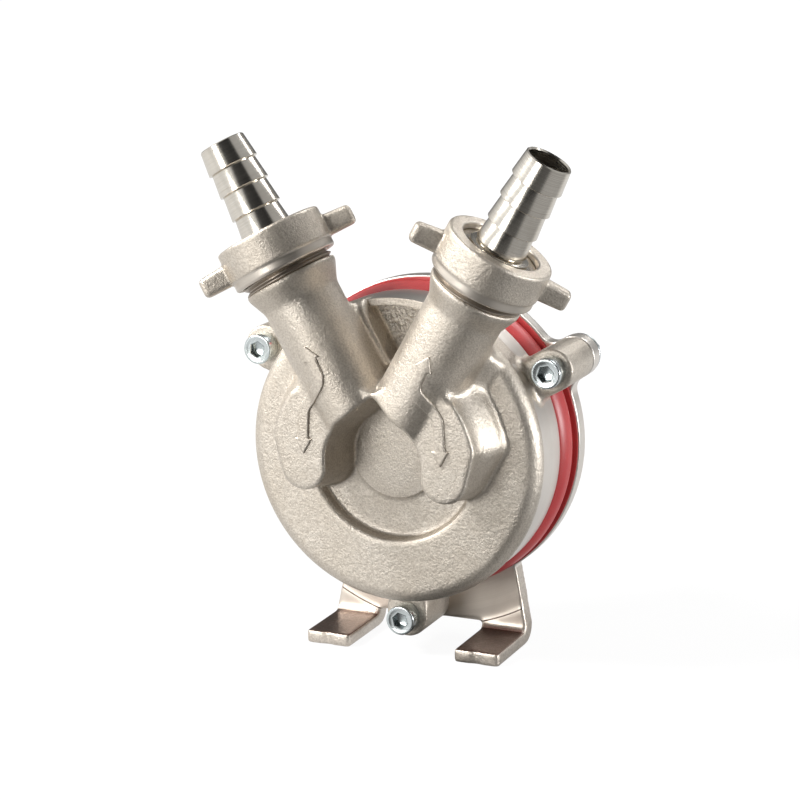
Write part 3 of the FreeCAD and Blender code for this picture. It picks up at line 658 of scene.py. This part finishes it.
def arrowOutline():
    # outline of one double-headed arrow from its centre line, in (x, z)
    corners = flowArrow.line
    line = list(corners[:2])
    for k in range(2, len(corners) - 2):
        line += roundedCorner(corners[k - 1], corners[k], corners[k + 1], flowArrow.bend, 5)
    line = [Vector(p) for p in line + list(corners[-2:])]
    half = flowArrow.shaftWidth / 2
    head = flowArrow.headWidth / 2
    inner = line[1:-1]
    normals = []
    for k in range(len(inner)):
        before = inner[k] - (inner[k - 1] if k else line[0])
        after = (inner[k + 1] if k < len(inner) - 1 else line[-1]) - inner[k]
        mean = (before.normalized() + after.normalized()).normalized()
        stretch = 1 / max(0.5, mean.dot(after.normalized()))
        normals.append(Vector((-mean.y, mean.x)) * stretch)
    right = [p + n * half for p, n in zip(inner, normals)]
    left = [p - n * half for p, n in zip(inner, normals)]
    outline = [line[0], inner[0] + normals[0].normalized() * head] + right
    outline += [inner[-1] + normals[-1].normalized() * head, line[-1],
                inner[-1] - normals[-1].normalized() * head]
    outline += list(reversed(left)) + [inner[0] - normals[0].normalized() * head]
    return outline


def makeArrow(side, body):
    # flat outline, cut fine, laid on the casting, thickened and rounded
    outline = arrowOutline()
    arrow = drawLine("flowArrow", [at(side * point.x, -castBody.arrowFront, point.y)
                                   for point in outline + outline[:1]])
    mergeAll()
    bpy.ops.mesh.edge_face_add()
    bpy.ops.mesh.quads_convert_to_tris()
    leave()
    edit(arrow, "SELECT")
    for cut in range(flowArrow.cuts):
        bpy.ops.mesh.subdivide(number_cuts=1)
    leave()
    addModifier(arrow, "SHRINKWRAP", target=body, wrap_method="PROJECT", use_project_x=False,
                use_project_y=True, use_project_z=False, use_positive_direction=True,
                use_negative_direction=False)
    edit(arrow, "SELECT")
    bpy.ops.transform.translate(value=(0, mm(flowArrow.sunk), 0))
    bpy.ops.mesh.extrude_region_move(
        TRANSFORM_OT_translate={"value": (0, -mm(flowArrow.height + flowArrow.sunk), 0)})
    leave()
    outwards(arrow)
    remesh(arrow, flowArrow.voxel)
    addModifier(arrow, "SMOOTH", factor=smoothFactor, iterations=flowArrow.passes)
    thin(arrow, flowArrow.keep)
    return arrow


def castZone(co):
    # how far a place on the casting is left rough, from 0 on machined places to 1
    zone = castZones
    x, y, z = pumpPlace(co)
    radius = math.hypot(x, z)
    weight = ramp(-y, *zone.rim)
    if radius > zone.ears[0]:
        weight = zone.earShare * ramp(y, *zone.earSeats) * ramp(radius, *zone.ears)
    if y > -zone.wallFront and radius < zone.wallRadius:
        weight = 0
    nearest = math.inf
    for side in (-1, 1):
        along, away = branchPlace(co, side)
        nearest = min(nearest, away)
        if along > zone.boreStart and away < zone.bore:
            weight = 0
        if along > zone.branchStart and away < zone.branchReach:
            outside = ramp(away, *zone.branchSkin) * (1 - ramp(along, *zone.threadStart))
            weight = max(weight, outside)
    inSector = radius < zone.sectorRadius and z > zone.sectorLow and y < -zone.sectorBack
    return 1 if inSector and nearest > zone.sectorBore else weight


def spotZone(co):
    x, y, z = pumpPlace(co)
    place = Vector((abs(x), y, z))
    return max(ramp((place - Vector(middle)).length, reach, reach * 0.6)
               for middle, reach in castBody.softSpots)


def makeCastBody():
    look = castBody
    body = copyNode("front_casting", "castBody")
    angle = math.radians(lean)
    for side in (-1, 1):
        # the threaded ends are cut off here and turned as pieces of their own
        along = Vector((side * math.sin(angle), 0, math.cos(angle)))
        edit(body, "SELECT")
        cut = at(0, -branchFront, 0) + along * mm(look.spudStart)
        bpy.ops.mesh.bisect(plane_co=cut, plane_no=along, clear_outer=True, use_fill=True)
        leave()
    for voxel, passes in ((look.firstVoxel, look.blendPasses), (look.lastVoxel, look.finalPasses)):
        remesh(body, voxel)
        smoothWhere(body, passes, castZone)
    smoothWhere(body, look.spotPasses, spotZone)
    thin(body, look.keepTriangles / (len(body.data.polygons) * 2))
    body = join([body] + [makeArrow(side, body) for side in (-1, 1)], "castBody")
    activate(body)
    bpy.ops.object.shade_smooth()
    paintCavity(body)
    return body


castPiece = makeCastBody()
# turned wall behind the cast rim and the low disc in the middle, crisper than the casting
turnedWall = Values(inside=41.0, radius=43.02, front=13.2, edge=0.25, steps=180)
centreDisc = Values(radius=13.4, height=0.78, edge=0.35, floor=14.7, steps=96)


def makeTurnedWall():
    look = turnedWall
    profile = [(look.inside, 0), (look.radius, 0), (look.radius, look.front), (look.inside, look.front)]
    wall = lathe("turnedWall", softened(profile, look.edge, [2]), look.steps)
    toShaft(wall)
    smooth(wall)
    for polygon in wall.data.polygons:
        # its front ring is left as cast
        polygon.material_index = 1 if polygon.normal.y < -0.4 else 0
    return wall


def makeCentreDisc():
    look = centreDisc
    low = look.floor - 1
    top = look.floor + look.height
    profile = [(0, low), (look.radius, low), (look.radius, top), (0, top)]
    disc = lathe("centreDisc", softened(profile, look.edge, [2]), look.steps)
    toShaft(disc)
    smooth(disc)
    return disc


finish(makeTurnedWall(), ["turnedNickel", "castNickel"], "housing", "cast_nickel")
finish(makeCentreDisc(), ["castNickel"], "housing", "cast_nickel")
coarseSector = Values(radius=42.5, low=24, back=11.5)
for polygon in castPiece.data.polygons:
    # the low sector between the branches was left rougher by the sand
    x, y, z = pumpPlace(polygon.center)
    inside = z > coarseSector.low and math.hypot(x, z) < coarseSector.radius
    frontal = y > -coarseSector.back and polygon.normal.y < -0.7
    polygon.material_index = 1 if inside and frontal else 0
finish(castPiece, ["castNickel", "coarseNickel"], "housing", "cast_nickel", "front_casting")
print("casting made")

threadSpud = Values(crest=13.05, root=12.1, pitch=1.814, bore=8.0, start=54.4, end=63.1, chamfer=0.8,
                    flanks=(0.38, 0.5, 0.88), steps=96, boreSteps=128, angle=30)


def makeSpud(side, name):
    # helical thread from one profile, capped, chamfered and bored
    look = threadSpud
    pitch = look.pitch
    low = look.start - 2 * pitch
    turns = math.ceil((look.end - look.start) / pitch) + 2
    rise, crestEnd, fall = (pitch * share for share in look.flanks)
    profile = [(look.root, 0), (look.crest, rise), (look.crest, crestEnd), (look.root, fall),
               (look.root, pitch)]
    spud = drawLine(name, [Vector((mm(radius), 0, mm(low + height))) for radius, height in profile])
    leave()
    addModifier(spud, "SCREW", axis="Z", angle=math.tau, screw_offset=mm(pitch), iterations=turns,
                steps=look.steps, render_steps=look.steps, use_merge_vertices=True,
                merge_threshold=mergeDistance)
    edit(spud)
    mergeAll()
    for height, direction in ((look.start, -1), (look.end, 1)):
        bpy.ops.mesh.bisect(plane_co=(0, 0, mm(height)), plane_no=(0, 0, direction), clear_outer=True,
                            use_fill=True)
        bpy.ops.mesh.select_all(action="SELECT")
    leave()
    outwards(spud)
    wide = look.crest + 1
    combine(spud, "INTERSECT", lathe("spudEnvelope", [
        (look.bore, look.start - 1), (wide, look.start - 1), (wide, look.end - look.chamfer - 1),
        (look.crest - look.chamfer, look.end), (look.bore, look.end)], look.boreSteps))
    toBranch(spud, side)
    smooth(spud, look.angle)
    return spud


for side, label in sides:
    finish(makeSpud(side, label + "ThreadSpud"), [("threadNickel", side)], "housing", "cast_nickel")

sealRing = Values(inner=40.2, land=42.2, bulge=44.6, length=9.5, seam=0.12, swell=0.62, points=20,
                  steps=240, angle=50, lip=45.0, lipThick=0.6)


def makeSealRing():
    # soft section: flat where it is squeezed, bulging between, with a fine moulding seam
    look = sealRing
    bottom = -look.length
    profile = [(look.inner + 0.4, -0.05), (look.land - 0.5, -0.05)]
    for k in range(look.points):
        t = k / look.points
        swell = math.sin(math.pi * t) ** look.swell
        radius = look.land + (look.bulge - look.land) * swell
        if t == 0.5:
            radius += look.seam
        profile.append((radius, -(0.02 + (look.length - 0.04) * t)))
    profile += [(look.lip - 0.3, look.lipThick + bottom), (look.lip, look.lipThick + bottom - 0.15),
                (look.lip, 0.03 + bottom), (look.land - 0.5, bottom + 0.05),
                (look.inner + 0.4, bottom + 0.05), (look.inner, bottom + 0.5), (look.inner, -0.5)]
    seal = lathe("sealRing", profile, look.steps)
    toShaft(seal)
    smooth(seal, look.angle)
    return seal


finish(makeSealRing(), ["redSilicone"], "housing", "red_silicone", "seal_ring")

screwHead = Values(
    radius=4.25, height=5.0, edge=0.75, footEdge=0.25, socket=4.0, socketDepth=2.8,
    dish=3.3, seat=8.2, shank=2.45, core=2.05, tip=21.8, threadFrom=9.0,
    pitch=0.8, pitchRadius=50.1, turns=(12, 26, 44), darkRadius=2.32,
    steps=72, angle=32,
)
earAngles = (30, 150, 270)


def ringPlace(angle):
    angle = math.radians(angle)
    return screwHead.pitchRadius * math.cos(angle), screwHead.pitchRadius * math.sin(angle)


def roundTheEars(piece, name, turns, tilt, back):
    # one copy in each ear, each turned its own way about its axis
    copies = []
    for angle, turned in zip(earAngles, turns):
        other = copyPiece(piece, name)
        turnPiece(other, turned, "Z")
        turnPiece(other, tilt, "X")
        x, z = ringPlace(angle)
        movePiece(other, at(x, back, z))
        copies.append(other)
    bpy.data.objects.remove(piece)
    return join(copies, name + "s")


def makeScrews():
    look = screwHead
    top = look.seat + look.height
    pitch = look.pitch
    place = -look.tip + 0.4
    profile = [(0, -look.tip), (look.core - 0.3, -look.tip), (look.core, place)]
    while place < -look.threadFrom:
        profile += [(look.shank, place + pitch * 0.45), (look.shank, place + pitch * 0.55),
                    (look.core, place + pitch)]
        place += pitch
    profile += [(look.shank, place + 0.3), (look.shank, look.seat)]
    head = [(look.shank, look.seat), (look.radius, look.seat), (look.radius, top),
            (look.dish, top)]
    profile += roundedCorner(head[0], head[1], head[2], look.footEdge, 3)
    profile += roundedCorner(head[1], head[2], head[3], look.edge, 5)
    profile += [(look.dish, top), (look.dish - 0.15, top - 0.07), (0, top - 0.07)]
    screw = lathe("coverScrews", profile, look.steps, closed=False)
    corner = look.socket / 2 / math.cos(math.pi / 6)
    combine(screw, "DIFFERENCE", lathe("socketCutter", [
        (0, top - look.socketDepth - 0.6), (corner, top - look.socketDepth), (corner, top - 0.25),
        (corner + 0.3, top), (corner + 0.3, top + 1), (0, top + 1)], 6, closed=False))
    screws = roundTheEars(screw, "coverScrew", look.turns, 90, 0)
    smooth(screws, look.angle)
    for polygon in screws.data.polygons:
        # the sockets' floors and walls hold more shade and plating salts
        x, y, z = pumpPlace(polygon.center)
        away = min(math.dist((x, z), ringPlace(angle)) for angle in earAngles)
        polygon.material_index = 1 if y < -look.seat and away < look.darkRadius else 0
    return screws


finish(makeScrews(), ["zinc", "socketZinc"], "housing", "zinc", "cover_screws")

coverNut = Values(across=8.0, height=5.0, flange=5.9, flangeHeight=1.2, bore=2.5, back=14.8,
                  skirtEdge=0.25, turns=(8, 40, 19), steps=64, angle=30)


def makeNuts():
    look = coverNut
    corner = look.across / 2 / math.cos(math.pi / 6)
    bpy.ops.mesh.primitive_cylinder_add(vertices=6, radius=mm(corner), depth=mm(look.height),
                                        location=(0, 0, mm(look.height / 2)))
    nut = bpy.context.object
    settle(nut)
    combine(nut, "INTERSECT", lathe("nutEnvelope", [
        (look.bore + 0.35, -0.5), (corner + 0.5, -0.5), (corner + 0.5, look.height - 0.9),
        (look.across / 2 - 0.1, look.height), (look.bore + 0.4, look.height),
        (look.bore, look.height - 0.4), (look.bore, 0.1)], look.steps))
    skirtTop = look.flangeHeight + 0.5
    profile = [(look.bore + 0.1, 0), (look.flange, 0), (look.flange, look.flangeHeight * 0.6),
               (look.across / 2 + 0.4, skirtTop), (look.bore + 0.1, skirtTop)]
    skirt = lathe("nutFlange", softened(profile, look.skirtEdge, [1, 2]), look.steps)
    nuts = roundTheEars(join([nut, skirt], "coverNuts"), "coverNut", look.turns, -90, look.back)
    smooth(nuts, look.angle)
    return nuts


finish(makeNuts(), ["zinc"], "housing", "zinc", "cover_nuts")
print("seal and fasteners made")

unionNut = Values(
    outer=15.35, band=15.0, bandHeight=3.0, start=58.4, end=70.3, lip=2.0,
    thread=13.3, opening=11.2, edge=1.0, wingReach=23.3, wingHeight=6.3, wingThick=4.6,
    wingDrop=3.0, wingTurn=26, wingEdge=1.3, wingEnd=(1, 0.86, 0.9), voxel=0.32,
    passes=7, brimShare=0.35, keep=0.6, steps=160, angle=60,
)


def makeUnionNut(side, name):
    look = unionNut
    low = look.start
    bandTop = low + look.bandHeight
    profile = [
        (look.thread + 0.5, low), (look.band - 0.5, low), (look.band, low + 0.5),
        (look.band, bandTop), (look.outer, bandTop + 0.1),
        (look.outer, look.end), (look.opening, look.end),
        (look.opening, look.end - look.lip), (look.thread, look.end - look.lip),
        (look.thread, low + 0.5)]
    pieces = [lathe(name, softened(profile, look.edge, [5]), look.steps)]
    inner = look.thread + 1.0
    for turned in (0, 180):
        # wing: a bar with narrowed rounded end, sunk into the ring
        bpy.ops.mesh.primitive_cube_add(size=1)
        wing = bpy.context.object
        wing.scale = (mm(look.wingReach - inner), mm(look.wingThick), mm(look.wingHeight))
        wing.location = (mm((look.wingReach + inner) / 2), 0,
                         mm(look.end - look.wingDrop - look.wingHeight / 2))
        settle(wing)
        edit(wing)
        selectVerts(wing, lambda co: co.x > mm(look.wingReach - 1))
        bpy.ops.transform.resize(value=look.wingEnd, center_override=(0, 0, wing.data.vertices[0].co.z))
        leave()
        addModifier(wing, "BEVEL", width=mm(look.wingEdge), segments=4)
        turnPiece(wing, look.wingTurn + turned, "Z")
        pieces.append(wing)
    nut = join(pieces, name)
    remesh(nut, look.voxel)

    def outside(co):
        # the turned band, thread and opening stay crisp, and the brim is softened less
        away = math.hypot(co.x, co.y) * 1000
        height = co.z * 1000
        onBand = away < look.outer + 0.4 and height < bandTop + 0.3
        if onBand or away < look.opening + 1.2:
            return 0
        onBrim = height > look.end - 1.2 and away < look.outer + 0.3
        weight = ramp(away, look.thread + 0.6, look.thread + 1.2)
        return weight * (look.brimShare if onBrim else 1)

    smoothWhere(nut, look.passes, outside)
    smoothWhere(nut, 1, lambda co: 1)
    thin(nut, look.keep)
    for polygon in nut.data.polygons:
        height = polygon.center.z * 1000
        away = math.hypot(polygon.center.x, polygon.center.y) * 1000
        polygon.material_index = 1 if height < bandTop or away < look.opening + 0.5 else 0
    toBranch(nut, side)
    smooth(nut, look.angle)
    paintCavity(nut)
    return nut


for side, label in sides:
    finish(makeUnionNut(side, label + "UnionNut"), ["castNickel", ("bandNickel", side)], label + "_nut",
           "nut_nickel", label + "_union_nut")

hoseTail = Values(
    bore=5.8, flange=12.9, flangeFrom=65.1, flangeTo=68.3, collar=8.7, collarTop=69.6,
    teeth=(76.5, 83.6, 90.3), tooth=7.35, root=6.5, rim=6.55, end=97.4, steps=200,
    angle=28,
)


def makeHoseTail(side, name):
    look = hoseTail
    profile = [
        (look.bore, look.flangeFrom), (look.flange, look.flangeFrom),
        (look.flange, look.flangeTo), (look.collar, look.flangeTo),
        (look.collar, look.collarTop - 0.3), (look.collar - 0.6, look.collarTop),
        (look.tooth - 0.5, look.collarTop + 0.1), (look.tooth, look.collarTop + 0.9)]
    for station in look.teeth:
        profile += [(look.root + 0.05, station - 0.15), (look.root, station),
                    (look.tooth - 0.12, station), (look.tooth, station + 0.14)]
    profile += [(look.rim, look.end - 0.25), (look.rim - 0.25, look.end),
                (look.bore + 0.3, look.end), (look.bore, look.end - 0.4)]
    tail = lathe(name, profile, look.steps)
    toBranch(tail, side)
    smooth(tail, look.angle)
    return tail


for side, label in sides:
    finish(makeHoseTail(side, label + "HoseTail"), [("tailNickel", side)], label + "_tail", "tail_nickel",
           label + "_hose_tail")
print("branches dressed")

coverLook = Values(
    voxel=0.34,
    passes=3,            # rounding of the turned disc's edges
    footPasses=34,       # rounding of the cast legs and feet
    castBelow=-46.5,     # the legs below it are rounded as castings are
    castBlend=2.0,
    keepTriangles=150000,
    rimRadius=46.2,      # outside it and below legTop the metal is as cast
    legTop=-20,
    turnedFace=9.5,
    turnedBelow=-38,     # from there down the turned face has the legs' own finish
    rearFace=14.3,
    # heights of the foot tops, which take the painted shade
    footTop=(-57.3, -53.9),
    footFront=8.0,
    normalWeight=80,
)


def makeCover():
    # the turned disc with its edges broken, and the legs and feet rounded as they are cast
    look = coverLook
    cover = copyNode("rear_cover", "rearCover")
    remesh(cover, look.voxel)

    def below(co):
        return ramp(look.castBelow - pumpPlace(co)[2], 0, look.castBlend)

    smoothWhere(cover, look.footPasses, below)
    addModifier(cover, "SMOOTH", factor=smoothFactor, iterations=look.passes)
    thin(cover, look.keepTriangles / (len(cover.data.polygons) * 2))
    paintCavity(cover, 1)
    low, high = look.footTop
    for polygon in cover.data.polygons:
        x, y, z = pumpPlace(polygon.center)
        normal = polygon.normal
        frontal = normal.y < -0.8 and abs(y - look.turnedFace) < 0.5
        rearward = normal.y > 0.8 and y > look.rearFace
        onLegs = z < look.legTop and math.hypot(x, z) > look.rimRadius and not rearward
        polygon.material_index = 2 if onLegs else 0
        if frontal and z < look.turnedBelow:
            polygon.material_index = 1
        # the foot tops take the dark coat, a painted shade for their dark reflection
        if low < z < high and y < look.footFront and normal.z > 0.7:
            polygon.material_index = 3
    activate(cover)
    bpy.ops.object.shade_smooth()
    addModifier(cover, "WEIGHTED_NORMAL", weight=look.normalWeight)
    return cover


finish(makeCover(), ["turnedNickel", "legTurned", "legCast", "footTop"], "housing", "turned_nickel",
       "rear_cover")
print("cover made")

# Stage, light and camera
stageSettings = Values(
    floorRadius=4.0,
    floorRim=2.4,
    floorRoughness=0.9,
    floorColour=(0.08, 0.08, 0.08),
    floorGlow=0.93,      # under the object, so that its shadow shows
    floorNear=(0.9, 0.3),    # metres from there to the floor that is white
    glossyShare=0.78,    # how bright metal sees the floor, against the camera
    # direction, outer and inner half angles and depth of dark gaps, where the photographer stands
    floorGap=(-74, 31, 17, 1.0),
    floorDim=(-22, 72, 40, 0.6),
    skyGap=(-60, 42, 28, 0.92),
    skyLow=0.10,
    # middle, range and strength of the tent's bright sides
    skySides=[((-0.80, -0.50, 0.33), 0.05, 0.85, 0.85), ((0.85, 0.25, 0.46), 0.15, 0.9, 0.45)],
)
lampAim = (0, -0.015, 0.07)
lampSettings = [
    # name, place in metres, size, watts, colour
    ("keyLamp", (-0.80, -0.50, 0.85), 0.35, 21, (1.0, 0.985, 0.96)),
    ("frontLamp", (-0.65, -1.90, 0.25), 0.70, 12, (1.0, 0.99, 0.97)),
    ("sideLamp", (1.05, 0.05, 0.13), 0.30, 8, (0.98, 0.99, 1.0)),
    ("backLamp", (0.35, 0.85, 1.0), 0.5, 5, (1.0, 1.0, 1.0)),
]
cameraSettings = Values(
    place=(276.197, -642.979, 176.625),
    lookAt=(-5.150, 0, 10.859),
    roll=-0.008,
    lens=114.65,
    sensor=36,
    nearest=0.01,
)


def gapMask(tree, direction, gap):
    # 1 in the lit tent and low in the gap, from the direction that a place on the floor or sky lies in
    azimuth, outer, inner = (math.radians(angle) for angle in gap[:3])
    level = vectorNode(tree, "NORMALIZE", vectorNode(tree, "MULTIPLY", direction, (1, 1, 0)))
    towards = vectorNode(tree, "DOT_PRODUCT", level, (math.cos(azimuth), math.sin(azimuth), 0))
    return rampNode(tree, towards, math.cos(outer), math.cos(inner), 1, 1 - gap[3], "SMOOTHSTEP")


def makeStage():
    look = stageSettings
    bpy.ops.mesh.primitive_circle_add(vertices=96, radius=look.floorRadius, fill_type="NGON")
    floor = bpy.context.object
    floor.name = "studioFloor"
    edit(floor, "SELECT")
    bpy.ops.mesh.inset(thickness=look.floorRim)
    leave()
    material, tree, shader = newMaterial("studioFloor", 0, look.floorRoughness)
    feed(tree, shader["Base Color"], look.floorColour)
    feed(tree, shader["Emission Color"], (1, 1, 1))
    shader["Specular IOR Level"].default_value = 0.0
    path = addNode(tree, "LightPath").outputs
    place = addNode(tree, "TexCoord").outputs["Object"]
    lit = mathNode(tree, "MULTIPLY", gapMask(tree, place, look.floorGap),
                   gapMask(tree, place, look.floorDim))
    share = mathNode(tree, "MULTIPLY", lit, look.glossyShare)
    reflected = mathNode(tree, "MULTIPLY", path["Is Glossy Ray"], share)
    seen = mathNode(tree, "MAXIMUM", path["Is Camera Ray"], reflected)
    seen = mathNode(tree, "MAXIMUM", seen, path["Is Transmission Ray"])
    # the floor under the object keeps its shadow, and the floor far away is white
    near = rampNode(tree, vectorNode(tree, "LENGTH", place), *look.floorNear)
    dimmed = mathNode(tree, "MULTIPLY", near, 1 - look.floorGlow)
    glow = mathNode(tree, "MULTIPLY", seen, mathNode(tree, "SUBTRACT", 1.0, dimmed))
    feed(tree, shader["Emission Strength"], glow)
    floor.data.materials.append(material)


def makeWorld():
    # a white tent, brightest at the left, less so at the right, with the gap in front
    look = stageSettings
    world = bpy.data.worlds.new("studio")
    bpy.context.scene.world = world
    world.use_nodes = True
    tree = world.node_tree
    background = tree.nodes["Background"].inputs
    path = addNode(tree, "LightPath").outputs
    seen = mathNode(tree, "MAXIMUM", path["Is Camera Ray"], path["Is Transmission Ray"])
    direction = addNode(tree, "TexCoord").outputs["Generated"]
    tent = look.skyLow
    for middle, low, high, strength in look.skySides:
        side = rampNode(tree, vectorNode(tree, "DOT_PRODUCT", direction, middle), low, high)
        side = mathNode(tree, "MULTIPLY", side, strength - look.skyLow)
        tent = mathNode(tree, "ADD", side, tent)
    tent = mathNode(tree, "MULTIPLY", tent, gapMask(tree, direction, look.skyGap))
    strength = fedNode(tree, "Mix", {0: seen, 2: tent, 3: 1.0}, data_type="FLOAT")
    feed(tree, background["Strength"], strength.outputs[0])
    feed(tree, background["Color"], (1, 1, 1))


def makeLamps():
    for name, place, size, watts, colour in lampSettings:
        bpy.ops.object.light_add(type="AREA", location=place)
        lamp = bpy.context.object
        lamp.name = name
        lamp.data.energy = watts
        lamp.data.size = size
        lamp.data.color = colour
        target = Vector(lampAim) - Vector(place)
        lamp.rotation_euler = target.to_track_quat("-Z", "Y").to_euler()


def makeCamera():
    place = at(*cameraSettings.place)
    aim = at(*cameraSettings.lookAt) - place
    bpy.ops.object.camera_add(location=place)
    camera = bpy.context.object
    camera.name = "photoCamera"
    camera.data.lens = cameraSettings.lens
    camera.data.sensor_width = cameraSettings.sensor
    camera.data.clip_start = cameraSettings.nearest
    rolled = aim.to_track_quat("-Z", "Y") @ Quaternion((0, 0, 1), cameraSettings.roll)
    camera.rotation_euler = rolled.to_euler()
    bpy.context.scene.camera = camera


makeStage()
makeWorld()
makeLamps()
makeCamera()
bpy.context.scene.view_settings.view_transform = "Standard"
deselect()
print("stage, lamps and camera ready")
